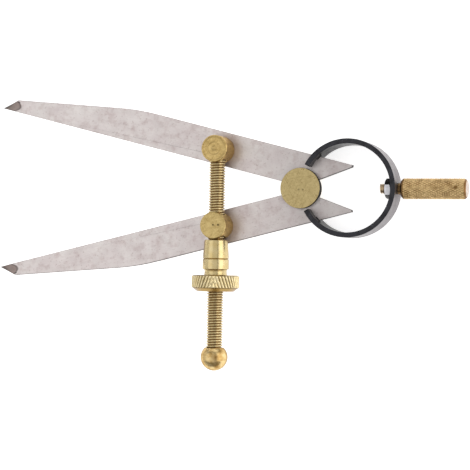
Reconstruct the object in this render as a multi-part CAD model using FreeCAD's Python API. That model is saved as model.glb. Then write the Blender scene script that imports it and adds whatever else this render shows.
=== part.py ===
"""A spring divider with a quick screw adjustment: two flat steel legs that pivot on a brass
fulcrum, a round bow spring that pushes their tails together, a turned handle on the spring,
and a threaded rod with a thumb nut that sets how far the points stand apart.

Frame: the origin is on the fulcrum's axis, in the middle of the legs' thickness. +X points
along the handle, +Z out of the legs' front face, where the rod lies. The legs are drawn once,
in a frame of their own (u along the leg towards the handle, v outwards), and swung into place.
Sizes are in millimetres.
"""
import FreeCAD
import Part

import math
import os

Vector = FreeCAD.Vector
X_AXIS = Vector(1, 0, 0)
Y_AXIS = Vector(0, 1, 0)
Z_AXIS = Vector(0, 0, 1)
ORIGIN = Vector(0, 0, 0)

# legs
rest_half_angle = 14.25        # degrees between a leg's own line and the divider's axis
leg_thickness = 2.8
point_distance = 135.5         # fulcrum axis to the point
point_offset = 0.15            # the point stands this far outside the radial line
inner_edge_offset = 0.75       # the same at the fulcrum's end of the inner edge
outer_edge_offset = 14.1
end_cut_distance = 129.3       # where the steep cut at the point meets the taper
end_cut_offset = 5.1
taper_angle = 9.52
knee_radius = 105.0
tail_distance = 17.9
tail_blunt = 0.8
tail_slope = 34.35
scoop_radius = 8.0             # hollow ground on both faces at the point
scoop_start = 126.8
scoop_slope = 8.0
scoop_reach = 20.0             # half the length of the grinding cylinder

# fulcrum
core_radius = 5.0
running_clearance = 0.05
flange_radius = 8.12
back_flange_radius = 7.3
flange_thickness = 2.05
fulcrum_screw_radius = 2.0
fulcrum_screw_head_radius = 3.8
fulcrum_screw_length = 5.4
edge_break = 0.25

# bow spring
spring_centre_x = 19.6
spring_outer_radius = 19.55
spring_thickness = 2.0
spring_width = 12.0
spring_end_angle = 151.5       # degrees round the spring's centre from +X
fork_root_angle = 139.0
fork_clearance = 0.15
fork_root_gap = 0.3            # degrees between the fork's root and the leg's notch
fork_cut_overrun = 5.0         # degrees that the fork's cut runs past the strip's end
notch_start_angle = 118.0      # well outside the leg
notch_clearance = 0.2
stud_hole_clearance = 0.1

# handle
neck_start_x = 39.17
grip_start_x = 40.5
grip_end_x = 66.6
grip_radius = 4.1
grip_chamfer = 0.85
neck_radius = 2.3
stud_radius = 2.0
stud_start_x = 32.1
stud_point = 0.5
handle_nut_width = 7.0         # across the flats
handle_nut_length = 2.5
handle_nut_turn = 9.4          # degrees by which its front flat leans towards -Y
handle_nut_end_x = 36.68

# posts, which turn in the legs and carry the rod
post_distance = 36.97          # fulcrum axis to each post's axis
post_leg_angle = 10.38         # degrees, seen from the fulcrum, outwards from the leg's own line
post_radius = 5.4
post_top_z = 11.7
post_chamfer = 0.3
spigot_radius = 2.5
washer_radius = 4.3
washer_thickness = 1.0
post_screw_radius = 1.25
post_screw_head_radius = 2.45
post_screw_length = 4.2

# adjusting rod and thumb nut
rod_axis_z = 6.7
rod_radius = 3.25
rod_seat_depth = 3.0           # how far the rod goes past the upper post's axis
ball_distance = 83.6           # upper post's axis to the ball's centre
ball_radius = 5.4
ball_flat_depth = 1.6          # cut off the ball's top
rod_into_ball = 4.0            # from where the whole ball would have its top
nut_gap = 0.3                  # between the lower post and the thumb nut
nut_bore_radius = 3.3
post_bore_radius = 3.33
barrel_top_radius = 4.7
barrel_radius = 5.27
barrel_edge = 0.3
taper_length = 7.65
band_length = 4.15
neck_length = 2.4
nut_neck_radius = 4.6
wheel_radius = 9.57
wheel_length = 4.85
wheel_edge = 0.45
wheel_foot_radius = 7.4
wheel_foot_length = 1.65

# slots in the screw heads
slot_width = 0.7
slot_depth = 0.5

# how far a cutting shape runs past the face that it opens
cut_margin = 1.0

# what follows from them
half_leg = leg_thickness / 2
plate_z = half_leg + running_clearance           # the first free plane beside the legs
spring_inner_radius = spring_outer_radius - spring_thickness
post_angle = math.radians(rest_half_angle + post_leg_angle)
post_x = -post_distance * math.cos(post_angle)
post_y = post_distance * math.sin(post_angle)
rod_top_y = post_y + rod_seat_depth
ball_y = post_y - ball_distance
rod_end_y = ball_y + ball_radius - rod_into_ball
nut_top_y = -post_y - post_radius - nut_gap


def cylinder(radius, low, high, axis=Z_AXIS, centre=ORIGIN):
    """A cylinder along axis between two distances from centre."""
    return Part.makeCylinder(radius, high - low, centre + axis * low, axis)


def turned(profile, axis_point, axis, across):
    """Turns a closed outline of (distance along axis, radius) about the axis."""
    points = [axis_point + axis * along + across * radius for along, radius in profile]
    face = Part.Face(Part.makePolygon(points + points[:1]))
    return face.revolve(axis_point, axis, 360)


def block(low, high):
    """A box between two corners."""
    return Part.makeBox(high[0] - low[0], high[1] - low[1], high[2] - low[2], Vector(*low))


def plate(outline_edges, thickness):
    """A flat plate centred on z = 0."""
    face = Part.Face(Part.Wire(outline_edges))
    face.translate(Vector(0, 0, -thickness / 2))
    return face.extrude(Vector(0, 0, thickness))


def knee_points():
    """The taper's and the outer edge's tangent points, and the arc's middle point, as (u, v)."""
    slope = math.radians(taper_angle)
    corner_u = -end_cut_distance + (outer_edge_offset - end_cut_offset) / math.tan(slope)
    tangent = knee_radius * math.tan(slope / 2)
    start = (corner_u - tangent * math.cos(slope), outer_edge_offset - tangent * math.sin(slope))
    end = (corner_u + tangent, outer_edge_offset)
    centre_v = outer_edge_offset - knee_radius
    middle = (end[0] - knee_radius * math.sin(slope / 2), centre_v + knee_radius * math.cos(slope / 2))
    return start, middle, end


def leg_outline():
    """The leg's outline in its own frame, starting at the point and going round its inner edge."""
    slope = math.tan(math.radians(tail_slope))
    tail_v = outer_edge_offset - tail_blunt
    vertex_u = tail_distance - (tail_v - inner_edge_offset) / slope
    knee_start, knee_middle, knee_end = knee_points()
    corners = [
        (-point_distance, point_offset),
        (vertex_u, inner_edge_offset),
        (tail_distance, tail_v),
        (tail_distance, outer_edge_offset),
        knee_end,
        knee_start,
        (-end_cut_distance, end_cut_offset),
    ]
    at = [Vector(u, v, 0) for u, v in corners]
    edges = [Part.LineSegment(at[n], at[n + 1]).toShape() for n in range(4)]
    edges.append(Part.Arc(at[4], Vector(knee_middle[0], knee_middle[1], 0), at[5]).toShape())
    edges.append(Part.LineSegment(at[5], at[6]).toShape())
    edges.append(Part.LineSegment(at[6], at[0]).toShape())
    return edges


def point_scoop(side):
    """The hollow that is ground into one face at the point; side is 1 for the front, -1 for the back.
    A cylinder sinks into the face towards the point, so the hollow starts as a rounded front."""
    slope = math.radians(scoop_slope)
    towards_point = Vector(-math.cos(slope), 0, -side * math.sin(slope))
    lift = half_leg + scoop_radius / math.cos(slope)
    start = Vector(-scoop_start, end_cut_offset / 2, side * lift)
    return cylinder(scoop_radius, -scoop_reach, scoop_reach, towards_point, start)


def spring_sector(inner, outer, half_width, first, last):
    """A stretch of a ring about the spring's centre between two angles in degrees."""
    middle = math.radians((first + last) / 2)
    centre = Vector(spring_centre_x, 0, 0)

    def on(radius, angle):
        return centre + Vector(radius * math.cos(angle), radius * math.sin(angle), 0)

    low, high = math.radians(first), math.radians(last)
    edges = [
        Part.Arc(on(outer, low), on(outer, middle), on(outer, high)).toShape(),
        Part.LineSegment(on(outer, high), on(inner, high)).toShape(),
        Part.Arc(on(inner, high), on(inner, middle), on(inner, low)).toShape(),
        Part.LineSegment(on(inner, low), on(outer, low)).toShape(),
    ]
    return plate(edges, 2 * half_width)


def leg(side):
    """One leg, with its bearing notch, post hole, spring notch and ground point.
    side is 1 for the upper leg and -1 for the lower, which mirrors it."""
    body = plate(leg_outline(), leg_thickness)
    for face_side in (1, -1):
        body = body.cut(point_scoop(face_side))
    body = body.cut(cylinder(core_radius + running_clearance, -leg_thickness, leg_thickness))
    angle = math.radians(post_leg_angle)
    hole = Vector(-post_distance * math.cos(angle), post_distance * math.sin(angle), 0)
    hole_radius = spigot_radius + running_clearance
    body = body.cut(cylinder(hole_radius, -leg_thickness, leg_thickness, Z_AXIS, hole))
    spring_notch = spring_sector(
        spring_inner_radius - notch_clearance,
        spring_outer_radius + notch_clearance,
        leg_thickness,
        notch_start_angle,
        fork_root_angle,
    )
    body.rotate(ORIGIN, Z_AXIS, -rest_half_angle)
    body = body.cut(spring_notch)
    return body if side > 0 else body.mirror(ORIGIN, Y_AXIS)


def fulcrum_stud():
    """The front flange and the core that the legs bear on, in one turned piece."""
    top = plate_z + flange_thickness
    profile = [
        (-plate_z, 0.0),
        (-plate_z, core_radius),
        (plate_z, core_radius),
        (plate_z, flange_radius),
        (top - edge_break, flange_radius),
        (top, flange_radius - edge_break),
        (top, 0.0),
    ]
    stud = turned(profile, ORIGIN, Z_AXIS, X_AXIS)
    bore_end = -plate_z - flange_thickness + fulcrum_screw_length
    return stud.cut(cylinder(fulcrum_screw_radius, -plate_z - cut_margin, bore_end))


def countersink(flat_z, head_radius, shank_radius):
    """A cone that opens towards -Z, from shank to head radius at 45 degrees."""
    depth = head_radius - shank_radius
    return Part.makeCone(head_radius, shank_radius, depth, Vector(0, 0, flat_z), Z_AXIS)


def fulcrum_back_flange():
    """The disc that closes the fulcrum behind the legs."""
    back = -plate_z - flange_thickness
    profile = [
        (back, 0.0),
        (back, back_flange_radius - edge_break),
        (back + edge_break, back_flange_radius),
        (-plate_z, back_flange_radius),
        (-plate_z, 0.0),
    ]
    disc = turned(profile, ORIGIN, Z_AXIS, X_AXIS)
    disc = disc.cut(cylinder(fulcrum_screw_radius, back - cut_margin, 0))
    return disc.cut(countersink(back, fulcrum_screw_head_radius, fulcrum_screw_radius))


def slotted_screw(head_z, head_radius, shank_radius, length, centre):
    """A countersunk screw that goes in along +Z, its slotted head flush at head_z."""
    screw = cylinder(shank_radius, head_z, head_z + length)
    screw = screw.fuse(countersink(head_z, head_radius, shank_radius))
    slot = block(
        (-head_radius, -slot_width / 2, head_z - cut_margin),
        (head_radius, slot_width / 2, head_z + slot_depth),
    )
    screw = screw.cut(slot)
    screw.translate(centre)
    return screw


def bow_spring():
    """The round flat-strip spring, with a forked end astride each leg and a hole for the handle."""
    half_width = spring_width / 2
    strip = spring_sector(
        spring_inner_radius, spring_outer_radius, half_width, -spring_end_angle, spring_end_angle
    )
    half_slot = half_leg + fork_clearance
    inner = spring_inner_radius - cut_margin
    outer = spring_outer_radius + cut_margin
    root = fork_root_angle - fork_root_gap
    end = spring_end_angle + fork_cut_overrun
    for first, last in ((root, end), (-end, -root)):
        strip = strip.cut(spring_sector(inner, outer, half_slot, first, last))
    hole_radius = stud_radius + stud_hole_clearance
    hole_start = spring_centre_x + inner / 2
    return strip.cut(cylinder(hole_radius, hole_start, neck_start_x + cut_margin, X_AXIS))


def handle():
    """The turned grip with its neck and threaded stud."""
    profile = [
        (stud_start_x, 0.0),
        (stud_start_x, stud_radius - stud_point),
        (stud_start_x + stud_point, stud_radius),
        (neck_start_x, stud_radius),
        (neck_start_x, neck_radius),
        (grip_start_x, neck_radius),
        (grip_start_x, grip_radius - grip_chamfer),
        (grip_start_x + grip_chamfer, grip_radius),
        (grip_end_x - grip_chamfer, grip_radius),
        (grip_end_x, grip_radius - grip_chamfer),
        (grip_end_x, 0.0),
    ]
    return turned(profile, ORIGIN, X_AXIS, Y_AXIS)


def handle_nut():
    """The hexagon nut on the stud inside the spring, corners rounded by a chamfer."""
    corner = handle_nut_width / math.sqrt(3)
    start = handle_nut_end_x - handle_nut_length
    points = []
    for n in range(7):
        angle = math.radians(60 * n + handle_nut_turn)
        points.append(Vector(start, corner * math.cos(angle), corner * math.sin(angle)))
    prism = Part.Face(Part.makePolygon(points)).extrude(Vector(handle_nut_length, 0, 0))
    flat = handle_nut_width / 2
    face_radius = flat - edge_break / 2
    rise = (corner - face_radius) * math.tan(math.radians(30))
    profile = [
        (start, 0.0),
        (start, face_radius),
        (start + rise, corner),
        (handle_nut_end_x - rise, corner),
        (handle_nut_end_x, face_radius),
        (handle_nut_end_x, 0.0),
    ]
    nut = prism.common(turned(profile, ORIGIN, X_AXIS, Y_AXIS))
    return nut.cut(cylinder(stud_radius, start - cut_margin, handle_nut_end_x + cut_margin, X_AXIS))


def post(side):
    """A round post with its spigot through the leg; side is 1 for the upper, -1 for the lower."""
    centre = Vector(post_x, side * post_y, 0)
    spigot_end = -plate_z
    profile = [
        (spigot_end, 0.0),
        (spigot_end, spigot_radius),
        (plate_z, spigot_radius),
        (plate_z, post_radius),
        (post_top_z - post_chamfer, post_radius),
        (post_top_z, post_radius - post_chamfer),
        (post_top_z, 0.0),
    ]
    body = turned(profile, centre, Z_AXIS, X_AXIS)
    screw_end = -plate_z - washer_thickness + post_screw_length
    body = body.cut(cylinder(post_screw_radius, spigot_end - cut_margin, screw_end, Z_AXIS, centre))
    rod_line = Vector(post_x, 0, rod_axis_z)
    if side > 0:
        return body.cut(cylinder(rod_radius, -post_y, rod_top_y, Y_AXIS, rod_line))
    return body.cut(cylinder(post_bore_radius, -2 * post_y, post_y, Y_AXIS, rod_line))


def post_washer(side):
    """The washer under the post's screw, countersunk for its head."""
    back = -plate_z - washer_thickness
    profile = [
        (back, 0.0),
        (back, washer_radius - edge_break),
        (back + edge_break, washer_radius),
        (-plate_z, washer_radius),
        (-plate_z, 0.0),
    ]
    washer = turned(profile, ORIGIN, Z_AXIS, X_AXIS)
    washer = washer.cut(cylinder(post_screw_radius, back - cut_margin, 0))
    washer = washer.cut(countersink(back, post_screw_head_radius, post_screw_radius))
    washer.translate(Vector(post_x, side * post_y, 0))
    return washer


def adjusting_rod():
    """The threaded rod at its crest diameter, from inside the upper post to inside the ball."""
    return cylinder(rod_radius, rod_end_y, rod_top_y, Y_AXIS, Vector(post_x, 0, rod_axis_z))


def rod_ball():
    """The ball screwed on the rod's free end, cut flat where the rod enters it."""
    ball = Part.makeSphere(ball_radius, Vector(post_x, ball_y, rod_axis_z))
    rod_line = Vector(post_x, 0, rod_axis_z)
    beyond_y = ball_y + 2 * ball_radius
    flat_y = ball_y + ball_radius - ball_flat_depth
    ball = ball.cut(cylinder(2 * ball_radius, flat_y, beyond_y, Y_AXIS, rod_line))
    return ball.cut(cylinder(rod_radius, rod_end_y, beyond_y, Y_AXIS, rod_line))


def thumb_nut():
    """The nut: a tapered barrel, a band, a neck and the finger wheel."""
    taper_end = nut_top_y - taper_length
    band_end = taper_end - band_length
    neck_end = band_end - neck_length
    wheel_end = neck_end - wheel_length
    foot_end = wheel_end - wheel_foot_length
    profile = [
        (nut_top_y, nut_bore_radius),
        (nut_top_y, barrel_top_radius - barrel_edge),
        (nut_top_y - barrel_edge, barrel_top_radius),
        (taper_end, barrel_radius),
        (band_end + barrel_edge, barrel_radius),
        (band_end, barrel_radius - barrel_edge),
        (band_end, nut_neck_radius),
        (neck_end, nut_neck_radius),
        (neck_end, wheel_radius - wheel_edge),
        (neck_end - wheel_edge, wheel_radius),
        (wheel_end, wheel_radius),
        (foot_end, wheel_foot_radius),
        (foot_end, nut_bore_radius),
    ]
    return turned(profile, Vector(post_x, 0, rod_axis_z), Y_AXIS, X_AXIS)


def post_screw(side):
    """The countersunk screw that holds a post in its leg."""
    back = -plate_z - washer_thickness
    place = Vector(post_x, side * post_y, 0)
    return slotted_screw(back, post_screw_head_radius, post_screw_radius, post_screw_length, place)


def fulcrum_screw():
    """The countersunk screw that holds the back flange to the core."""
    back = -plate_z - flange_thickness
    return slotted_screw(
        back, fulcrum_screw_head_radius, fulcrum_screw_radius, fulcrum_screw_length, ORIGIN
    )


def save(name, shape):
    """Writes one sub-part and says what it holds."""
    solids = shape.Solids
    whole = solids[0] if len(solids) == 1 else shape
    whole.exportStep(os.path.join("parts", name + ".step"))
    print(f"{name}: {len(solids)} solid, {whole.Volume:.1f} mm3, valid {whole.isValid()}")


os.makedirs("parts", exist_ok=True)
save("upper_leg", leg(1))
save("lower_leg", leg(-1))
save("fulcrum_stud", fulcrum_stud())
save("fulcrum_back_flange", fulcrum_back_flange())
save("fulcrum_screw", fulcrum_screw())
save("bow_spring", bow_spring())
save("handle", handle())
save("handle_nut", handle_nut())
save("upper_post", post(1))
save("lower_post", post(-1))
save("upper_post_washer", post_washer(1))
save("lower_post_washer", post_washer(-1))
save("upper_post_screw", post_screw(1))
save("lower_post_screw", post_screw(-1))
save("adjusting_rod", adjusting_rod())
save("rod_ball", rod_ball())
save("thumb_nut", thumb_nut())
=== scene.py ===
"""The looks of a spring divider with a quick screw adjustment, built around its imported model.

Lengths are in millimetres until a mesh is made. The frame is the model's own: the origin on the
fulcrum's axis, +X along the handle and +Z out of the front face, so the divider lies on its back.
"""

import math

import bmesh
import bpy
from mathutils import Euler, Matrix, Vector, noise


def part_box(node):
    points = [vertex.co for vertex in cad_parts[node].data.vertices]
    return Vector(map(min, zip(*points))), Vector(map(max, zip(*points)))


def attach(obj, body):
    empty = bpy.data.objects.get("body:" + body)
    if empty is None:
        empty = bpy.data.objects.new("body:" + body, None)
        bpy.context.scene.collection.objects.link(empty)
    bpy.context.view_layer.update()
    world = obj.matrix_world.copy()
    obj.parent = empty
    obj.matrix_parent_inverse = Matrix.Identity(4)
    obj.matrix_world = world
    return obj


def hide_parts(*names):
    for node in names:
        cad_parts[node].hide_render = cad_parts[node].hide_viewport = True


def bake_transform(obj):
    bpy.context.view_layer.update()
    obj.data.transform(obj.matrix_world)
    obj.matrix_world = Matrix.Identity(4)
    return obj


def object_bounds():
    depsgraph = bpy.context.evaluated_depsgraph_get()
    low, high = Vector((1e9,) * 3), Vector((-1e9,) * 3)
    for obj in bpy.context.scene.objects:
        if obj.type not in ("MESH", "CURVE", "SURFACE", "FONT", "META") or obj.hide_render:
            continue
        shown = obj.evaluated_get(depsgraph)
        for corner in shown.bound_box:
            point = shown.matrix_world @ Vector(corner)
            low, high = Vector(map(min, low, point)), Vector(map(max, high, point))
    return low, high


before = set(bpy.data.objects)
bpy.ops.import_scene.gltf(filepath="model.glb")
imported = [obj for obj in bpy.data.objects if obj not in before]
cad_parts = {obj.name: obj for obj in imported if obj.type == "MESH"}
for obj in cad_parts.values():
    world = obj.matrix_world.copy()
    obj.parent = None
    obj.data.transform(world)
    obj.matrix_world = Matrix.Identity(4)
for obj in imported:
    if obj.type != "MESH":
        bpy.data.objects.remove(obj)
cad_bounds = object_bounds()

MM = 0.001
TOUCHING = 1e-7                # metres between points that count as one
X_AXIS = Vector((1, 0, 0))
Y_AXIS = Vector((0, 1, 0))
Z_AXIS = Vector((0, 0, 1))

# edges and turning
edge_round = 0.18
fine_round = 0.1
screw_round = 0.05
washer_round = 0.08
sharp_angle = 32               # degrees between faces, above which a node's edge is rounded
turning_steps = 96
hole_steps = 48
bore_steps = 64
plain_step = 5                 # longest stretch of an outline away from a knurl

# punch marks; each pair is measured along X and Y from the middle of its face
pip_radius = 0.33
pip_depth = 0.6
pip_sides = 16
flange_pips = ((-0.5, -0.6), (1.25, -0.6))
flange_pips_z = 3.45
post_pips = ((0.15, 0.2), (2.3, 0.2))
post_pips_z = 11.65

# threads
rod_pitch = 25.4 / 24
rod_crest_radius = 3.25
thread_depth = 0.6
stud_pitch = 0.8
stud_depth = 0.34
thread_steps = 48

# knurls, as helical grooves of both hands round a cylinder
knurl_groove_width = 0.8       # share of the spacing
wear_scale = 0.45              # worn patches to a millimetre
wheel_ridges = 44
wheel_ridge_steps = 8          # steps of the turning to a ridge
wheel_step = 0.14
wheel_knurl_depth = 0.55
wheel_knurl_lead = 20          # degrees between a groove and the axis
wheel_wear = 0.15
wheel_hand_fade = 0.8          # how much of each hand is lost on its weak side
hand_change = 0.2              # the share of X in the way outwards at which the hands change over
hand_change_rate = 4           # how fast they do
grip_ridges = 26
grip_ridge_steps = 7
grip_step = 0.13
grip_knurl_depth = 0.36
grip_knurl_lead = 28
grip_wear = 0.5

# fulcrum, legs and posts; the keys 1 and -1 stand for the upper and the lower side
core_radius = 5.0
half_leg = 1.4
leg_clearance = 0.05
leg_edge = 0.3
grain_angle = 14.25            # degrees between a leg's grain and the X axis
# where the painted shadow beside each post lies on its leg's face
painted_shadow_places = {1: (-32.4, 15.2, half_leg), -1: (-32.4, -15.4, half_leg)}
spigot_radius = 2.5
post_edge = 0.3
bore_radius = 3.33
face_rings = (4.6, 2.5)        # radii of the fine grooves in the upper post's face
ring_half_width = 0.15
ring_depth = 0.12
face_dimple = ((0, 1.1), (0.14, 0.85), (0.4, 0))   # (depth, radius) in the middle of that face

# ball
ball_steps = 40
ball_socket_depth = 0.3        # how far past the middle the rod's hole goes, as a share of the radius

# thumb nut, from its top down
nut_bore_radius = 3.3
barrel_top_radius = 4.7
barrel_radius = 5.27
barrel_edge = 0.3
taper_length = 7.65
groove_width = 0.55
groove_depth = 0.4
band_length = 4.15
neck_length = 2.4
neck_shoulder = 0.1
neck_waist_share = 0.4         # how far along the neck its waist is
neck_waist_radius = 4.4
neck_foot = 0.15
nut_neck_radius = 4.6
neck_fillet = 0.2
wheel_length = 4.85
wheel_edge = 0.45
wheel_foot_radius = 7.4

# handle
handle_neck_radius = 2.3
handle_stud_radius = 2.0
neck_start = 39.17
grip_start = 40.5
grip_chamfer = 0.85

# bow spring; angles are in degrees round its centre, from the handle on
spring_steps = 90
spring_thickness = 2.0
spring_end_angle = 151.5
fork_root_angle = 138.7
fork_half_slot = 1.55
fork_steps = 8
stud_hole_radius = 2.1
spring_edge_round = 0.15
painted_shade_angle = 131.0        # from here on the strip's flat faces take the black finish too, as painted shade
flat_face_share = 0.85         # of the way outwards in a normal, above which a face is a flat one

# the middle of a noise's range
cloud_low = 0.3
cloud_high = 0.7


# ---------------------------------------------------------------- meshes

def box_mm(node):
    """A node's lowest and highest corners at rest, in millimetres."""
    low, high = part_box(node)
    return low / MM, high / MM


def middle(low, high):
    return (low + high) / 2


def mesh_piece(name, points, faces, place=Vector((0, 0, 0))):
    """An object from points in millimetres, measured from its own place."""
    mesh = bpy.data.meshes.new(name)
    mesh.from_pydata([Vector(p) * MM for p in points], [], faces)
    piece = bpy.data.objects.new(name, mesh)
    piece.location = Vector(place) * MM
    bpy.context.scene.collection.objects.link(piece)
    weld(piece)
    return piece


def weld(piece):
    """Joins points that meet and turns every face outwards."""
    work = bmesh.new()
    work.from_mesh(piece.data)
    bmesh.ops.remove_doubles(work, verts=work.verts, dist=TOUCHING)
    bmesh.ops.recalc_face_normals(work, faces=work.faces)
    work.to_mesh(piece.data)
    work.free()


def smooth(piece):
    """Smooth shading in which large flat faces stay flat."""
    piece.data.shade_smooth()
    weigh_normals(piece).keep_sharp = True


def weigh_normals(piece):
    """Makes the largest faces decide the shading where faces meet."""
    normals = piece.modifiers.new("face_weighted_normals", "WEIGHTED_NORMAL")
    normals.weight = 80
    return normals


def settle(piece):
    """Makes the piece's modifiers part of its mesh."""
    bpy.context.view_layer.update()
    graph = bpy.context.evaluated_depsgraph_get()
    made = bpy.data.meshes.new_from_object(piece.evaluated_get(graph))
    made.name = piece.name
    piece.modifiers.clear()
    piece.data = made


def cut(piece, cutter):
    """Takes the cutter's volume out of the piece."""
    tool = piece.modifiers.new("cut", "BOOLEAN")
    tool.operation = "DIFFERENCE"
    tool.solver = "EXACT"
    tool.object = cutter
    settle(piece)
    bpy.data.objects.remove(cutter)


def softened(outline, radius, closed=False):
    """Rounds an outline's corners with short curves."""
    count = len(outline)
    rounded = []
    for n, corner in enumerate(outline):
        corner = Vector(corner)
        if not closed and n in (0, count - 1):
            rounded.append(corner)
            continue
        before = Vector(outline[n - 1]) - corner
        after = Vector(outline[(n + 1) % count]) - corner
        reach = min(radius, 0.45 * before.length, 0.45 * after.length)
        start = corner + before.normalized() * reach
        end = corner + after.normalized() * reach
        for step in range(4):
            t = step / 3
            rounded.append(start * (1 - t) ** 2 + corner * 2 * t * (1 - t) + end * t ** 2)
    return rounded


def spokes(axis):
    """Two directions square to an axis and to each other."""
    across = X_AXIS if abs(axis.x) < 0.5 else Y_AXIS
    return across, axis.cross(across)


def lathe(name, outline, place, axis, closed=False, steps=turning_steps):
    """Turns an outline of (distance along axis, radius) about the axis through place."""
    across, side = spokes(axis)
    rings = len(outline)
    points = []
    for n in range(steps):
        angle = 2 * math.pi * n / steps
        out = across * math.cos(angle) + side * math.sin(angle)
        points += [axis * along + out * radius for along, radius in outline]
    faces = []
    for n in range(steps):
        here, following = n * rings, (n + 1) % steps * rings
        for k in range(rings if closed else rings - 1):
            after = (k + 1) % rings
            faces.append((here + k, here + after, following + after, following + k))
    return mesh_piece(name, points, faces, place)


def groove_share(turns, along, lead, ridges, radius, hand):
    """How deep a point lies in a knurl's V grooves of one hand, from 0 on a ridge to 1."""
    slant = hand * along * math.tan(math.radians(lead)) / (2 * math.pi * radius)
    phase = (turns + slant) * ridges % 1
    return max(0.0, 1 - abs(2 * phase - 1) / knurl_groove_width)


def knurl(piece, axis, radius, ridges, depth, lead, wear, fade=0.0):
    """Presses a diamond knurl into a turned piece where its surface reaches the full radius.
    wear varies the depth from place to place. On a piece turned about Y, fade weakens the grooves
    of one hand on the side towards -X and those of the other hand on the side towards +X."""
    across, side = spokes(axis)
    for vertex in piece.data.vertices:
        point = vertex.co / MM
        along = point.dot(axis)
        out = point - axis * along
        if out.length < radius - depth:
            continue
        turns = math.atan2(out.dot(side), out.dot(across)) / (2 * math.pi)
        lean = out.dot(across) / out.length
        share = 0
        for hand in (1, -1):
            favour = max(-1, min(1, hand_change_rate * hand * (lean - hand_change)))
            strength = 1 - fade * (0.5 - 0.5 * favour)
            share = max(share, strength * groove_share(turns, along, lead, ridges, radius, hand))
        local_depth = depth * (1 - wear * (0.5 + noise.noise(point * wear_scale)))
        wanted = min(out.length, radius - local_depth * share)
        vertex.co = (axis * along + out.normalized() * wanted) * MM


def knurl_ready(outline, radius, fine_step):
    """Adds points so that an outline has stretches of at most fine_step beyond a radius. Its last
    point is left out."""
    points = []
    for start, end in zip(outline, outline[1:]):
        step = fine_step if max(start[1], end[1]) > radius else plain_step
        parts = max(1, math.ceil((end - start).length / step))
        points.append(start)
        points += [start.lerp(end, n / parts) for n in range(1, parts)]
    return points


def thread(name, radius, depth, pitch, start, end, place, axis, steps=thread_steps):
    """A rod with a helical thread between two distances along the axis, cut square at its ends."""
    across, side = spokes(axis)
    crest, root = radius, radius - depth
    flank = (crest + root) / 2
    # one turn's profile, as (share of the pitch, radius)
    section = [(0.0, crest), (0.26, crest), (0.42, flank), (0.57, root), (0.68, root), (0.84, flank)]
    per_turn = len(section)
    turns = math.ceil((end - start) / pitch) + 3
    rows = turns * per_turn
    points = []
    for n in range(steps):
        angle = 2 * math.pi * n / steps
        out = across * math.cos(angle) + side * math.sin(angle)
        for row in range(rows):
            share, distance = section[row % per_turn]
            along = start + pitch * (row // per_turn + share + n / steps - 2)
            points.append(axis * along + out * distance)
    faces = []
    for n in range(steps):
        shift = per_turn if n == steps - 1 else 0
        here, following = n * rows, (n + 1) % steps * rows + shift
        for row in range(rows - 1 - shift):
            faces.append((here + row, here + row + 1, following + row + 1, following + row))
    rod = mesh_piece(name, points, faces, place)
    for distance, way in ((start, -1), (end, 1)):
        trim(rod, axis * distance, axis * way)
    return rod


def trim(piece, point, outwards):
    """Cuts off what lies beyond a plane and closes the hole."""
    work = bmesh.new()
    work.from_mesh(piece.data)
    everything = work.verts[:] + work.edges[:] + work.faces[:]
    bmesh.ops.bisect_plane(
        work, geom=everything, plane_co=point * MM, plane_no=outwards, clear_outer=True, dist=1e-8
    )
    rim = [
        edge for edge in work.edges
        if edge.is_boundary
        and all(abs((vertex.co - point * MM).dot(outwards)) < TOUCHING for vertex in edge.verts)
    ]
    bmesh.ops.holes_fill(work, edges=rim, sides=0)
    bmesh.ops.recalc_face_normals(work, faces=work.faces)
    work.to_mesh(piece.data)
    work.free()


def soften_node(node, width=fine_round):
    """Rounds the sharp edges of a node that is carried over from the model."""
    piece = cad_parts[node]
    joined = piece.modifiers.new("weld", "WELD")
    joined.merge_threshold = 1e-6
    edges = piece.modifiers.new("edges", "BEVEL")
    edges.width = width * MM
    edges.segments = 2
    edges.limit_method = "ANGLE"
    edges.angle_limit = math.radians(sharp_angle)
    weigh_normals(piece)
    return piece


# ---------------------------------------------------------------- materials

def add_node(tree, kind, **inputs):
    """A shader node with some of its inputs set; an underscore stands for a space."""
    made = tree.nodes.new(kind)
    for name, value in inputs.items():
        made.inputs[name.replace("_", " ")].default_value = value
    return made


def metal(name, colour, roughness, metallic=1.0, edge_tint=(1, 1, 1)):
    """A metal to build on: the material, its node tree and its shader. edge_tint is the colour of
    what it reflects at a glancing angle, darker for a tarnished one."""
    material = bpy.data.materials.new(name)
    material.use_nodes = True
    shader = material.node_tree.nodes["Principled BSDF"]
    shader.inputs["Base Color"].default_value = (*colour, 1)
    shader.inputs["Roughness"].default_value = roughness
    shader.inputs["Metallic"].default_value = metallic
    shader.inputs["Specular Tint"].default_value = (*edge_tint, 1)
    return material, material.node_tree, shader


def coordinates(tree, kind="Object"):
    """The piece's own coordinates, or with kind Normal its normal."""
    return tree.nodes.new("ShaderNodeTexCoord").outputs[kind]


def vector_math(tree, operation, vector, constant=None):
    """A node that does something to a vector, with a second and constant one where it takes two."""
    made = tree.nodes.new("ShaderNodeVectorMath")
    made.operation = operation
    tree.links.new(vector, made.inputs[0])
    if constant is not None:
        made.inputs[1].default_value = constant
    return made


def mottle(tree, size, stretch=(1, 1, 1), turn=(0, 0, 0), detail=4.0, rough=0.55):
    """Noise whose patches are about size millimetres across, divided along each axis by stretch, the
    axes being turned first by so many degrees."""
    angles = [math.radians(angle) for angle in turn]
    spread = add_node(tree, "ShaderNodeMapping", Rotation=angles, Scale=[1 / share for share in stretch])
    spread.vector_type = "TEXTURE"
    texture = add_node(tree, "ShaderNodeTexNoise", Scale=1 / (size * MM), Detail=detail, Roughness=rough)
    tree.links.new(coordinates(tree), spread.inputs["Vector"])
    tree.links.new(spread.outputs["Vector"], texture.inputs["Vector"])
    return texture.outputs["Fac"]


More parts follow.
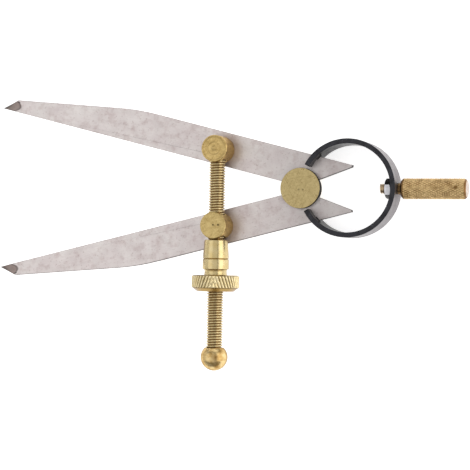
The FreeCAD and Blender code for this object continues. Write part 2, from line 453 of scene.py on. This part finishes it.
def rings(tree, spacing, axis):
    """Fine turning marks round one of the piece's own axes."""
    texture = add_node(
        tree, "ShaderNodeTexWave", Scale=0.314 / (spacing * MM), Distortion=1.2, Detail=2.0, Detail_Scale=1.5
    )
    texture.wave_type = "RINGS"
    texture.rings_direction = axis
    tree.links.new(coordinates(tree), texture.inputs["Vector"])
    return texture.outputs["Fac"]


def graded(tree, value, low, high, low_colour, high_colour):
    """Turns a value into a colour between two stops."""
    ramp = add_node(tree, "ShaderNodeValToRGB")
    ramp.color_ramp.elements[0].position = low
    ramp.color_ramp.elements[0].color = (*low_colour, 1)
    ramp.color_ramp.elements[1].position = high
    ramp.color_ramp.elements[1].color = (*high_colour, 1)
    tree.links.new(value, ramp.inputs["Fac"])
    return ramp.outputs["Color"]


def clouded(tree, cloud, first, second):
    """Goes from one colour to another over the middle of a noise's range."""
    return graded(tree, cloud, cloud_low, cloud_high, first, second)


def ranged(tree, value, low, high, to_low, to_high):
    """Maps a value's range onto another, held at its ends."""
    made = add_node(
        tree, "ShaderNodeMapRange", From_Min=low, From_Max=high, To_Min=to_low, To_Max=to_high
    )
    tree.links.new(value, made.inputs["Value"])
    return made.outputs["Result"]


def coordinate(tree, axis, kind="Object"):
    """The piece's own X, Y or Z in metres, or with kind Normal the part of the normal along it."""
    split = tree.nodes.new("ShaderNodeSeparateXYZ")
    tree.links.new(coordinates(tree, kind), split.inputs["Vector"])
    return split.outputs[axis]


def distance_from_axis(tree, keep):
    """How far a point lies from one of the piece's own axes, in metres; keep is 0 along that axis."""
    across = vector_math(tree, "MULTIPLY", coordinates(tree), keep)
    return vector_math(tree, "LENGTH", across.outputs["Vector"]).outputs["Value"]


def absolute(tree, value):
    """The size of a value whatever its sign."""
    made = tree.nodes.new("ShaderNodeMath")
    made.operation = "ABSOLUTE"
    tree.links.new(value, made.inputs[0])
    return made.outputs["Value"]


def stepped(tree, value, full, stops):
    """Turns a length in metres into a colour; stops are (length in millimetres, colour) up to full."""
    ramp = add_node(tree, "ShaderNodeValToRGB")
    elements = ramp.color_ramp.elements
    while len(elements) < len(stops):
        elements.new(0.5)
    for element, (length, _) in zip(elements, stops):
        element.position = length / full
    for element, (_, colour) in zip(elements, stops):
        element.color = (*colour, 1)
    tree.links.new(ranged(tree, value, 0, full * MM, 0, 1), ramp.inputs["Fac"])
    return ramp.outputs["Color"]


def grey(shade):
    return (shade, shade, shade)


def colour_mix(tree, kind, first, second):
    """A node that mixes two colours, and its result; the second may be a constant colour."""
    made = tree.nodes.new("ShaderNodeMix")
    made.data_type = "RGBA"
    made.blend_type = kind
    colours = [socket for socket in made.inputs if socket.type == "RGBA"]
    tree.links.new(first, colours[0])
    if isinstance(second, tuple):
        colours[1].default_value = (*second, 1)
    else:
        tree.links.new(second, colours[1])
    return made, next(socket for socket in made.outputs if socket.type == "RGBA")


def mixed(tree, factor, first, second):
    """Goes from one colour to another with a factor."""
    made, result = colour_mix(tree, "MIX", first, second)
    tree.links.new(factor, made.inputs["Factor"])
    return result


def multiplied(tree, first, second, share=1.0):
    """One colour darkened by another."""
    made, result = colour_mix(tree, "MULTIPLY", first, second)
    made.inputs["Factor"].default_value = share
    return result


def vary_roughness(tree, shader, size, low, high, detail=4.0):
    """Lets the roughness wander between two values in patches about size millimetres across."""
    patches = mottle(tree, size, detail=detail)
    wander = ranged(tree, patches, cloud_low, cloud_high, low, high)
    tree.links.new(wander, shader.inputs["Roughness"])


def bumped(tree, shader, layers):
    """Adds bumps from (height, strength, depth in millimetres) layers, one over another."""
    below = None
    for height, strength, depth in layers:
        layer = add_node(tree, "ShaderNodeBump", Strength=strength, Distance=depth * MM)
        tree.links.new(height, layer.inputs["Height"])
        if below is not None:
            tree.links.new(below, layer.inputs["Normal"])
        below = layer.outputs["Normal"]
    tree.links.new(below, shader.inputs["Normal"])


def spot(tree, place, inner, outer, shade):
    """A round dark spot, for painted shadows, painted reflections and marks: shade up to inner from place,
    fading out at outer; all in millimetres.
    """
    away = vector_math(tree, "DISTANCE", coordinates(tree), Vector(place) * MM)
    return stepped(tree, away.outputs["Value"], 1.25 * outer, [(inner, shade), (outer, grey(1))])


def ground_steel(name, side):
    """Matt surface-ground steel: a faint grain along the leg, cloudy patches and small pits. The
    narrow sides and the hollows at the points, which lie below the faces, get painted shade, as do the
    rounded edges and the +X end, and there is a painted shadow beside the post. side is 1 for the upper leg
    and -1 for the lower one."""
    material, tree, shader = metal(name, (0.66, 0.61, 0.59), 0.46, 0.82, grey(0.6))
    turn = (0, 0, -grain_angle * side)
    clouds = graded(tree, mottle(tree, 9.0), 0.32, 0.68, (0.68, 0.61, 0.60), (0.75, 0.70, 0.68))
    stains = graded(tree, mottle(tree, 2.6, detail=6.0), 0.26, 0.5, (0.84, 0.79, 0.785), grey(1))
    pits = graded(tree, mottle(tree, 0.8, detail=3.0), 0.3, 0.4, (0.8, 0.76, 0.75), grey(1))
    grain = mottle(tree, 0.5, (0.12, 1.6, 1.0), turn, 5.0)
    streaks = clouded(tree, grain, grey(0.93), grey(1))
    # painted shade, darker towards the +X end, standing for the spring's shadow there
    towards_tail = ranged(tree, coordinate(tree, "X"), -28 * MM, 12 * MM, 0, 1)
    tail_shade = graded(tree, towards_tail, 0, 1, grey(1), grey(0.76))
    # painted shadow beside the post
    post_shadow = spot(tree, painted_shadow_places[side], 5.6, 8.0, (0.78, 0.74, 0.71))
    face = multiplied(tree, multiplied(tree, multiplied(tree, clouds, stains), pits), streaks)
    face = multiplied(tree, multiplied(tree, face, tail_shade), post_shadow)
    # painted shade: darker the deeper a surface lies below the leg's face, with a dark line just inside the
    # edge
    depth = stepped(tree, absolute(tree, coordinate(tree, "Z")), half_leg, [
        (0.3, grey(0.04)),
        (0.5, (0.16, 0.15, 0.14)),
        (0.75, (0.4, 0.355, 0.33)),
        (1.15, (0.48, 0.425, 0.4)),
        (1.3, (0.26, 0.24, 0.23)),
        (1.385, grey(1)),
    ])
    # painted shade on the rounded edges, where the normal turns away from Z
    edge = clouded(tree, mottle(tree, 1.5), (0.06, 0.055, 0.052), (0.12, 0.11, 0.105))
    shade_mask = ranged(tree, absolute(tree, coordinate(tree, "Z", "Normal")), 0.88, 0.98, 0, 1)
    tree.links.new(mixed(tree, shade_mask, edge, multiplied(tree, face, depth)), shader.inputs["Base Color"])
    vary_roughness(tree, shader, 3.5, 0.4, 0.54)
    speckle = mottle(tree, 0.22, detail=3.0)
    bumped(tree, shader, [(grain, 0.25, 0.03), (speckle, 0.2, 0.02)])
    return material


def dark_steel(name):
    """Blued spring steel, nearly black, with a soft bluish sheen and small marks."""
    material, tree, shader = metal(name, (0.03, 0.03, 0.034), 0.4, 0.75)
    clouds = clouded(tree, mottle(tree, 3.0), (0.020, 0.020, 0.023), (0.045, 0.045, 0.052))
    rub = graded(tree, mottle(tree, 0.8, detail=5.0), 0.62, 0.74, (1, 1, 1), (2.2, 2.2, 2.3))
    tree.links.new(multiplied(tree, clouds, rub), shader.inputs["Base Color"])
    vary_roughness(tree, shader, 1.2, 0.32, 0.5)
    bumped(tree, shader, [(mottle(tree, 0.3), 0.25, 0.02)])
    return material


def strip_steel(name):
    """The flat faces of the spring strip: rolled steel with a grey-lilac sheen, with painted shade darkening
    them towards the forks.
    """
    material, tree, shader = metal(name, (0.33, 0.315, 0.33), 0.3, 0.9, grey(0.65))
    clouds = clouded(tree, mottle(tree, 5.0), (0.28, 0.256, 0.266), (0.4, 0.372, 0.384))
    lines = mottle(tree, 0.35, (0.15, 0.15, 2.2), detail=4.0)
    streaks = graded(tree, lines, 0.28, 0.72, (0.8, 0.8, 0.8), (1, 1, 1))
    # painted shade, darker towards the forks
    fork_shade = stepped(tree, coordinate(tree, "X"), 30, [
        (7, grey(0.06)), (12, grey(0.08)), (18, grey(0.3)), (24, grey(1)),
    ])
    tree.links.new(
        multiplied(tree, multiplied(tree, clouds, streaks), fork_shade), shader.inputs["Base Color"]
    )
    vary_roughness(tree, shader, 2.0, 0.24, 0.38)
    bumped(tree, shader, [(lines, 0.2, 0.02)])
    return material


def nut_steel_with_painted_shade(name):
    """A nut whose flats that face front and back are bright and whose other flats are painted black as
    shade.
    """
    material, tree, shader = metal(name, (0.5, 0.5, 0.51), 0.3, 0.9)
    bright = clouded(tree, mottle(tree, 1.4), (0.53, 0.52, 0.55), (0.66, 0.66, 0.69))
    black = clouded(tree, mottle(tree, 1.0), grey(0.03), grey(0.07))
    # painted shade: the flats that don't face along Z are black
    flat = ranged(tree, absolute(tree, coordinate(tree, "Z", "Normal")), 0.8, 0.95, 0, 1)
    tree.links.new(mixed(tree, flat, black, bright), shader.inputs["Base Color"])
    vary_roughness(tree, shader, 0.8, 0.24, 0.4)
    bumped(tree, shader, [(mottle(tree, 0.25, (1, 1, 0.3)), 0.2, 0.015)])
    return material


def plated_steel(name, colour, roughness):
    """Bright plated steel with light handling marks."""
    material, tree, shader = metal(name, colour, roughness)
    dull = [share * 0.82 for share in colour]
    tree.links.new(clouded(tree, mottle(tree, 1.4), dull, colour), shader.inputs["Base Color"])
    vary_roughness(tree, shader, 0.8, roughness * 0.8, roughness * 1.3)
    bumped(tree, shader, [(mottle(tree, 0.25, (1, 1, 0.3)), 0.2, 0.015)])
    return material


def scratches(tree, size):
    """Fine straight scratches in a few directions, as a height from 0 to 1."""
    total = None
    for turn in (18, 64, 121):
        lines = mottle(tree, size, (0.05, 1.0, 1.0), (0, 0, turn), 2.0)
        cut_line = graded(tree, lines, 0.28, 0.4, (0, 0, 0), (1, 1, 1))
        total = cut_line if total is None else multiplied(tree, total, cut_line)
    return total


def satin_brass(name, light, dark, roughness, marks=None, shade=None, edge_tint=(1, 1, 1)):
    """Worn satin brass: warm patches, fine scratches and, where marks names an axis, turning marks
    round it. shade makes the colour that it is darkened by, mostly painted shade."""
    material, tree, shader = metal(name, light, roughness, 1.0, edge_tint)
    clouds = graded(tree, mottle(tree, 1.6, detail=6.0, rough=0.7), 0.34, 0.64, dark, light)
    spots = graded(tree, mottle(tree, 0.6, detail=3.0), 0.28, 0.42, (0.66, 0.58, 0.5), (1, 1, 1))
    lines = scratches(tree, 0.3)
    worn = graded(tree, lines, 0.0, 1.0, (0.62, 0.58, 0.5), (1, 1, 1))
    colour = multiplied(tree, multiplied(tree, clouds, spots), worn, 0.9)
    if shade:
        colour = multiplied(tree, colour, shade(tree))
    tree.links.new(colour, shader.inputs["Base Color"])
    vary_roughness(tree, shader, 1.5, roughness * 0.82, roughness * 1.25)
    layers = [(lines, 0.25, 0.02), (mottle(tree, 0.2), 0.18, 0.015)]
    if marks:
        layers.append((rings(tree, 0.5, marks), 0.4, 0.03))
    bumped(tree, shader, layers)
    return material


def polished_brass(name, colour, roughness, marks=None, shade=None, edge_tint=(1, 1, 1)):
    """Polished brass with a faint haze. marks, where given, is the stretch of fine turning lines, and
    shade makes the colour that it is darkened by, mostly painted shade."""
    material, tree, shader = metal(name, colour, roughness, 1.0, edge_tint)
    deep = (colour[0] * 0.9, colour[1] * 0.84, colour[2] * 0.7)
    clouds = graded(tree, mottle(tree, 2.2, detail=5.0), 0.32, 0.68, deep, colour)
    if shade:
        clouds = multiplied(tree, clouds, shade(tree))
    tree.links.new(clouds, shader.inputs["Base Color"])
    vary_roughness(tree, shader, 1.1, roughness * 0.85, roughness * 1.2, 5.0)
    layers = [(mottle(tree, 0.35), 0.04, 0.01)]
    if marks:
        layers.append((mottle(tree, 0.16, marks, detail=2.0), 0.05, 0.01))
    bumped(tree, shader, layers)
    return material


def side_shade(tree, shade):
    """Painted shade: turned brass is made darker on the sides and underside, on faces that turn away from
    the view.
    """
    upwards = vector_math(tree, "DOT_PRODUCT", coordinates(tree, "Normal"), (0.3, 0, 0.95))
    return graded(tree, upwards.outputs["Value"], 0.1, 0.42, shade, grey(1))


def rim_shade(tree):
    """Painted shade: the flange's narrow side is made nearly black."""
    shade_mask = absolute(tree, coordinate(tree, "Z", "Normal"))
    return graded(tree, shade_mask, 0.3, 0.7, (0.025, 0.018, 0.014), grey(1))


def dark_pips(tree, height, places, shade):
    """Darkens small punch marks at a height on a turned piece."""
    total = None
    for x, y in places:
        mark = spot(tree, (x, y, height), 0.25, 0.48, grey(shade))
        total = mark if total is None else multiplied(tree, total, mark)
    return total


def flange_shade_and_pips(tree):
    """The flange's painted shade on its narrow side, and its two darkened punch marks."""
    return multiplied(tree, rim_shade(tree), dark_pips(tree, flange_pips_z, flange_pips, 0.5))


def post_streaks_shade_and_pips(tree):
    """The lower post's streaked side with its painted shade, and its two darkened punch marks."""
    return multiplied(tree, wall_streaks_and_shade(tree), dark_pips(tree, post_pips_z, post_pips, 0.1))


def wall_streaks_and_shade(tree):
    """A post's side is brown and streaked, and partly as painted shade it is browner and a little darker
    than the face.
    """
    patches = mottle(tree, 1.2, (1, 1, 0.3))
    streaks = clouded(tree, patches, (0.72, 0.66, 0.58), (1.25, 1.18, 1.05))
    # painted shade: the streaked colour goes only on faces that turn away from Z
    shade_mask = ranged(tree, coordinate(tree, "Z", "Normal"), 0.25, 0.5, 0, 1)
    return mixed(tree, shade_mask, streaks, grey(1))


def root_shade(tree):
    """Painted shade in the roots of the rod's thread and on its sides."""
    from_axis = distance_from_axis(tree, (1, 0, 1))
    roots = stepped(tree, from_axis, 3.3, [(2.68, (0.36, 0.28, 0.26)), (3.08, grey(1))])
    return multiplied(tree, roots, side_shade(tree, (0.5, 0.42, 0.38)))


def knurl_shade(tree):
    """Painted shade between the ridges of the finger wheel, whose crests are made brighter, on its foot and
    on the nut's sides.
    """
    # painted shade in the grooves; the crests are made brighter
    grooves = stepped(tree, distance_from_axis(tree, (1, 0, 1)), 10, [
        (8.85, grey(1)), (9.12, (0.3, 0.25, 0.18)), (9.46, (1.2, 1.25, 1.4)),
    ])
    # painted shade on the foot, which faces -Y
    off_foot = ranged(tree, coordinate(tree, "Y", "Normal"), -0.75, -0.4, 0, 1)
    foot = graded(tree, off_foot, 0, 1, (0.6, 0.5, 0.34), grey(1))
    return multiplied(tree, multiplied(tree, grooves, foot), side_shade(tree, (0.62, 0.54, 0.46)))


def ball_tarnish_and_shade(tree):
    """Tarnish on the ball in brown patches, with painted shade on its sides and two round painted dark
    reflections.
    """
    patches = graded(tree, mottle(tree, 2.6, detail=3.0), 0.36, 0.6, (0.62, 0.53, 0.4), grey(1))
    total = multiplied(tree, patches, side_shade(tree, (0.55, 0.43, 0.32)))
    # two round painted dark reflections on the side that faces the view
    for place, outer in (((2.1, 0.1, 4.95), 1.6), ((2.4, -3.8, 3.0), 1.8)):
        total = multiplied(tree, total, spot(tree, place, 0.3, outer, (0.55, 0.45, 0.33)))
    return total


def handle_shade_and_mark(tree):
    """Painted shade: the handle's neck is made nearly black, its chamfers brown where they start, its
    knurl's grooves and its sides darker; a painted highlight lies on the far end, and there is one dark
    mark.
    """
    # painted shade on the neck and at the start of each chamfer, and a painted highlight past the far one
    along = stepped(tree, coordinate(tree, "X"), 70, [
        (41.3, (0.36, 0.32, 0.29)), (41.6, (0.55, 0.46, 0.37)), (42.0, grey(1)),
        (65.6, grey(1)), (65.9, (0.5, 0.41, 0.34)), (66.45, (0.42, 0.34, 0.3)), (66.57, (1.25, 1.6, 3.2)),
    ])
    brown = (0.36, 0.26, 0.18)
    # painted shade in the knurl's grooves
    grooves = stepped(
        tree, distance_from_axis(tree, (0, 1, 1)), 4.2, [(3.38, grey(1)), (3.76, brown), (4.02, grey(1))]
    )
    mark = spot(tree, (62.6, 0.5, 4.0), 0.5, 1.1, (0.35, 0.28, 0.2))
    sides = side_shade(tree, (0.6, 0.5, 0.42))
    return multiplied(tree, multiplied(tree, along, grooves), multiplied(tree, mark, sides))


leg_finish = {
    "upper_leg": ground_steel("ground_steel_upper", 1),
    "lower_leg": ground_steel("ground_steel_lower", -1),
}
black_finish = dark_steel("blued_steel")
strip_finish = strip_steel("rolled_steel")
nut_finish = nut_steel_with_painted_shade("nut_steel_with_painted_shade")
washer_finish = plated_steel("plated_steel", (0.6, 0.6, 0.62), 0.28)
screw_finish = plated_steel("screw_steel", (0.42, 0.42, 0.43), 0.34)
tarnish = (0.85, 0.8, 0.72)
pale, deep = (0.62, 0.475, 0.21), (0.46, 0.335, 0.135)
post_finish = {
    1: satin_brass(
        "upper_post_brass", (0.64, 0.47, 0.2), (0.46, 0.32, 0.12), 0.34, "Z", wall_streaks_and_shade, tarnish
    ),
    -1: satin_brass("lower_post_brass", pale, deep, 0.36, "Z", post_streaks_shade_and_pips, tarnish),
}
flange_finish = satin_brass(
    "flange_brass", (0.54, 0.43, 0.21), (0.42, 0.325, 0.15), 0.38, "Z", flange_shade_and_pips, grey(0.55)
)
grip_finish = satin_brass("handle_brass", (0.8, 0.585, 0.295), (0.62, 0.435, 0.2), 0.3, None, handle_shade_and_mark)
stud_finish = satin_brass("stud_brass", (0.82, 0.67, 0.47), (0.56, 0.43, 0.29), 0.34)
rod_finish = satin_brass("rod_brass", (0.8, 0.665, 0.38), (0.64, 0.52, 0.28), 0.3, None, root_shade, tarnish)
barrel_finish = polished_brass("turned_brass", (0.65, 0.535, 0.295), 0.25, (1, 14, 1), knurl_shade)
ball_finish = polished_brass("polished_brass", (0.78, 0.6, 0.31), 0.3, None, ball_tarnish_and_shade, (0.7, 0.66, 0.6))


# ---------------------------------------------------------------- pieces

def dress(piece, material):
    """Gives a piece its finish."""
    piece.data.materials.clear()
    piece.data.materials.append(material)
    return piece


def dress_node(node, material, width=fine_round):
    """Softens a carried-over node's edges and gives it its finish."""
    for place in soften_node(node, width).material_slots:
        place.material = material


def cone_pips(place, offsets):
    """A cutter for small cone-shaped punch marks in a face, at offsets along X and Y from place."""
    points = []
    faces = []
    for x, y in offsets:
        first = len(points)
        centre = Vector(place) + X_AXIS * x + Y_AXIS * y
        for n in range(pip_sides):
            angle = 2 * math.pi * n / pip_sides
            out = X_AXIS * math.cos(angle) + Y_AXIS * math.sin(angle)
            points.append(centre + out * pip_radius * 2 + Z_AXIS * pip_depth)
        points.append(centre - Z_AXIS * pip_depth)
        tip = first + pip_sides
        faces.append(tuple(range(first, tip)))
        faces += [(first + n, first + (n + 1) % pip_sides, tip) for n in range(pip_sides)]
    return mesh_piece("pips", points, faces)


def make_fulcrum():
    """The front flange and core, with its two punch marks."""
    low, high = box_mm("fulcrum_stud")
    flange_bottom = -low.z
    outline = [(low.z, 0), (low.z, core_radius), (flange_bottom, core_radius)]
    outline += [(flange_bottom, high.y), (high.z, high.y), (high.z, 0)]
    piece = lathe("fulcrum_face", softened(outline, edge_round), (0, 0, 0), Z_AXIS)
    cut(piece, cone_pips((0, 0, high.z), flange_pips))
    smooth(piece)
    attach(piece, "head")
    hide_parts("fulcrum_stud")
    dress(piece, flange_finish)


def make_post(side):
    """One post, turned, cross-bored for the rod and marked on its face."""
    name = "upper_post" if side > 0 else "lower_post"
    low, high = box_mm(name)
    centre = middle(low, high)
    radius = (high.x - low.x) / 2
    seat = box_mm("upper_leg")[1].z + leg_clearance
    outline = [(low.z, 0), (low.z, spigot_radius), (seat, spigot_radius), (seat, radius)]
    outline += [(high.z - post_edge, radius), (high.z, radius - post_edge)]
    if side > 0:
        for ring_radius in face_rings:
            outline += [(high.z, ring_radius + ring_half_width), (high.z - ring_depth, ring_radius)]
            outline.append((high.z, ring_radius - ring_half_width))
        outline += [(high.z - depth, dimple_radius) for depth, dimple_radius in face_dimple]
    else:
        outline.append((high.z, 0))
    place = (centre.x, centre.y, 0)
    piece = lathe(name + "_turned", softened(outline, edge_round), place, Z_AXIS)
    rod_low, rod_high = box_mm("adjusting_rod")
    rod_z = (rod_low.z + rod_high.z) / 2
    end = rod_high.y - centre.y if side > 0 else 2 * radius
    bore = [(-2 * radius, 0), (-2 * radius, bore_radius), (end, bore_radius), (end, 0)]
    cut(piece, lathe("bore", bore, (centre.x, centre.y, rod_z), Y_AXIS, steps=bore_steps))
    if side < 0:
        cut(piece, cone_pips((centre.x, centre.y, high.z), post_pips))
    smooth(piece)
    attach(piece, name)
    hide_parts(name)
    dress(piece, post_finish[side])


def make_rod():
    """The threaded rod."""
    low, high = box_mm("adjusting_rod")
    centre = middle(low, high)
    radius = (high.x - low.x) / 2
    piece = thread(
        "threaded_rod", radius, thread_depth, rod_pitch, low.y, high.y, (centre.x, 0, centre.z), Y_AXIS
    )
    smooth(piece)
    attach(piece, "upper_post")
    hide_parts("adjusting_rod")
    dress(piece, rod_finish)


def make_ball():
    """The ball on the rod's end, flat where the rod enters it."""
    low, high = box_mm("rod_ball")
    radius = (high.x - low.x) / 2
    centre = Vector(((low.x + high.x) / 2, low.y + radius, (low.z + high.z) / 2))
    flat = high.y - centre.y
    start = math.acos(min(1, flat / radius))
    bottom = -ball_socket_depth * radius
    outline = [(bottom, 0), (bottom, rod_crest_radius), (flat, rod_crest_radius)]
    for n in range(ball_steps + 1):
        angle = start + (math.pi - start) * n / ball_steps
        outline.append((radius * math.cos(angle), radius * math.sin(angle)))
    outline[-1] = (-radius, 0)
    piece = lathe("ball_end", outline, centre, Y_AXIS)
    smooth(piece)
    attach(piece, "upper_post")
    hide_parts("rod_ball")
    dress(piece, ball_finish)


def make_thumb_nut():
    """The thumb nut: tapered barrel, band, waisted neck and knurled finger wheel."""
    low, high = box_mm("thumb_nut")
    centre = middle(low, high)
    wheel_radius = (high.x - low.x) / 2
    top = high.y
    taper_end = top - taper_length
    band_end = taper_end - band_length
    neck_end = band_end - neck_length
    wheel_end = neck_end - wheel_length
    place = (centre.x, 0, centre.z)
    lean = (barrel_radius - barrel_top_radius) / taper_length
    groove_start = taper_end + groove_width / 2
    barrel = [
        (top, nut_bore_radius),
        (top, barrel_top_radius - barrel_edge),
        (top - barrel_edge, barrel_top_radius),
        (groove_start, barrel_radius - lean * groove_width / 2),
        (taper_end, barrel_radius - groove_depth),
        (groove_start - groove_width, barrel_radius),
        (band_end, barrel_radius),
        (band_end - neck_shoulder, nut_neck_radius),
        (band_end - neck_length * neck_waist_share, neck_waist_radius),
        (neck_end + neck_foot, nut_neck_radius),
    ]
    wheel = [
        (neck_end, nut_neck_radius + neck_fillet),
        (neck_end, wheel_radius - 2 * wheel_edge),
        (neck_end - wheel_edge, wheel_radius),
        (wheel_end, wheel_radius),
        (low.y, wheel_foot_radius),
        (low.y, nut_bore_radius),
    ]
    body = softened(barrel + wheel, fine_round, closed=True)
    outline = knurl_ready(body + body[:1], wheel_radius - 2 * wheel_knurl_depth, wheel_step)
    steps = wheel_ridges * wheel_ridge_steps
    piece = lathe("thumb_nut_turned", outline, place, Y_AXIS, closed=True, steps=steps)
    knurl(
        piece, Y_AXIS, wheel_radius, wheel_ridges, wheel_knurl_depth, wheel_knurl_lead, wheel_wear,
        wheel_hand_fade,
    )
    smooth(piece)
    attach(piece, "thumb_nut")
    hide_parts("thumb_nut")
    dress(piece, barrel_finish)


def make_handle():
    """The knurled grip with its neck, and the threaded stud that holds it on the spring."""
    low, high = box_mm("handle")
    grip_radius = high.z
    centre = (0, 0, 0)
    grip = [
        (neck_start, 0),
        (neck_start, handle_neck_radius),
        (grip_start, handle_neck_radius),
        (grip_start, grip_radius - grip_chamfer),
        (grip_start + grip_chamfer, grip_radius),
        (high.x - grip_chamfer, grip_radius),
        (high.x, grip_radius - grip_chamfer),
        (high.x, 0),
    ]
    rounded = softened(grip, edge_round)
    outline = knurl_ready(rounded, grip_radius - 2 * grip_knurl_depth, grip_step) + rounded[-1:]
    piece = lathe("handle_grip", outline, centre, X_AXIS, steps=grip_ridges * grip_ridge_steps)
    knurl(piece, X_AXIS, grip_radius, grip_ridges, grip_knurl_depth, grip_knurl_lead, grip_wear)
    smooth(piece)
    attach(piece, "head")
    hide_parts("handle")
    dress(piece, grip_finish)
    stud = thread(
        "handle_stud", handle_stud_radius, stud_depth, stud_pitch, low.x, neck_start, centre, X_AXIS
    )
    smooth(stud)
    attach(stud, "head")
    dress(stud, stud_finish)


def strip_section(inner, outer, half_width):
    """The strip's cross-section with rolled edges, as (radius, z)."""
    corners = [(inner, -half_width), (outer, -half_width), (outer, half_width), (inner, half_width)]
    return softened(corners, spring_edge_round, closed=True)


def swept_strip(name, section, centre_x, first, last, steps):
    """Sweeps a closed section of (radius, z) round the spring's centre and closes its ends."""
    count = len(section)
    points = []
    for n in range(steps + 1):
        angle = math.radians(first + (last - first) * n / steps)
        for radius, z in section:
            points.append((centre_x + radius * math.cos(angle), radius * math.sin(angle), z))
    faces = [tuple(range(count)), tuple(range(steps * count, (steps + 1) * count))]
    for n in range(steps):
        for k in range(count):
            after = (k + 1) % count
            here, following = n * count, (n + 1) * count
            faces.append((here + k, here + after, following + after, following + k))
    return mesh_piece(name, points, faces)


def make_half_spring(side):
    """One half of the bow spring, from the handle to the forked end astride its leg."""
    high = box_mm("bow_spring")[1]
    outer = high.y
    inner = outer - spring_thickness
    centre_x = high.x - outer
    leg = "upper_leg" if side > 0 else "lower_leg"
    section = strip_section(inner, outer, high.z)
    end_angle = side * spring_end_angle
    piece = swept_strip("bow_spring_" + leg[:5], section, centre_x, 0, end_angle, spring_steps)
    slot = [(inner - 1, -fork_half_slot), (outer + 1, -fork_half_slot)]
    slot += [(outer + 1, fork_half_slot), (inner - 1, fork_half_slot)]
    root_angle, past_angle = side * fork_root_angle, side * (spring_end_angle + 5)
    cut(piece, swept_strip("slot", slot, centre_x, root_angle, past_angle, fork_steps))
    hole = [(0, 0), (0, stud_hole_radius), (10, stud_hole_radius), (10, 0)]
    cut(piece, lathe("hole", hole, (high.x - 5, 0, 0), X_AXIS, steps=hole_steps))
    weld(piece)
    for edge in piece.data.edges:
        edge.use_edge_sharp = all(abs(piece.data.vertices[n].co.y) < TOUCHING for n in edge.vertices)
    dress(piece, strip_finish)
    piece.data.materials.append(black_finish)
    # edges take the black finish; the flat faces near the forks take it too, as painted shade
    for face in piece.data.polygons:
        radial = Vector((face.center.x / MM - centre_x, face.center.y / MM, 0)).normalized()
        flat = abs(face.normal.dot(radial)) > flat_face_share
        free = radial.x > math.cos(math.radians(painted_shade_angle))
        face.material_index = 0 if flat and free else 1
    smooth(piece)
    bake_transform(piece)
    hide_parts("bow_spring")


def dress_nodes():
    """Finishes for the nodes that keep their own shape."""
    for node, material in leg_finish.items():
        dress_node(node, material, leg_edge)
    dress_node("fulcrum_back_flange", flange_finish)
    dress_node("handle_nut", nut_finish)
    dress_node("fulcrum_screw", screw_finish, screw_round)
    for side in ("upper", "lower"):
        dress_node(side + "_post_screw", screw_finish, screw_round)
        dress_node(side + "_post_washer", washer_finish, washer_round)


# ---------------------------------------------------------------- stage

def make_floor():
    """A plain pale floor under the divider's lowest point."""
    lowest = cad_bounds[0].z / MM
    reach = 3000
    corners = [(-reach, -reach, 0), (reach, -reach, 0), (reach, reach, 0), (-reach, reach, 0)]
    floor = mesh_piece("floor", corners, [(0, 1, 2, 3)], (0, 0, lowest - 0.02))
    material, tree, shader = metal("floor_white", (0.93, 0.93, 0.93), 0.9, 0.0)
    tint = clouded(tree, mottle(tree, 400.0), (0.92, 0.92, 0.92), (0.95, 0.95, 0.95))
    tree.links.new(tint, shader.inputs["Base Color"])
    shader.inputs["Emission Color"].default_value = (1, 1, 1, 1)
    shader.inputs["Emission Strength"].default_value = 0.66
    floor.data.materials.append(material)


def area_light(name, place, aim, width, height, power):
    """A soft rectangular lamp at place, turned towards aim; both in millimetres."""
    data = bpy.data.lights.new(name, "AREA")
    data.shape = "RECTANGLE"
    data.size = width * MM
    data.size_y = height * MM
    data.energy = power
    lamp = bpy.data.objects.new(name, data)
    lamp.location = Vector(place) * MM
    lamp.rotation_euler = (Vector(aim) - Vector(place)).to_track_quat("-Z", "Y").to_euler()
    bpy.context.scene.collection.objects.link(lamp)


def make_lights():
    """A pale surround with soft lamps over and beside the divider."""
    world = bpy.data.worlds.new("studio")
    bpy.context.scene.world = world
    world.use_nodes = True
    surround = world.node_tree.nodes["Background"]
    surround.inputs["Color"].default_value = (1, 1, 1, 1)
    surround.inputs["Strength"].default_value = 0.3
    area_light("overhead_left", (-800, -140, 900), (-800, -140, 0), 1040, 1400, 4.3)
    area_light("overhead_right", (105, -140, 900), (105, -140, 0), 770, 1400, 1.9)
    area_light("left", (-1000, 60, 300), (-20, 0, 0), 1200, 500, 1.1)
    area_light("right", (816, 0, 380), (0, 0, 0), 1200, 760, 5.0)
    area_light("top", (0, 850, 420), (-20, 0, 0), 1400, 420, 1.9)
    bpy.context.scene.view_settings.view_transform = "Standard"


def make_camera():
    """The camera, tilted to the handle's side; its place is given along its own axes."""
    data = bpy.data.cameras.new("camera")
    data.sensor_width = 36.0
    data.lens = 134.04
    data.clip_start = 0.05
    data.clip_end = 20
    tilt = Euler([math.radians(angle) for angle in (1.55, 17.5, 1.08)])
    eye = bpy.data.objects.new("camera", data)
    eye.rotation_euler = tilt
    eye.location = tilt.to_matrix() @ Vector((-26.88, -18.62, 700.0)) * MM
    bpy.context.scene.collection.objects.link(eye)
    bpy.context.scene.camera = eye


make_camera()
make_lights()
make_floor()
dress_nodes()
make_fulcrum()
make_post(1)
make_post(-1)
make_rod()
make_ball()
make_thumb_nut()
make_handle()
make_half_spring(1)
make_half_spring(-1)
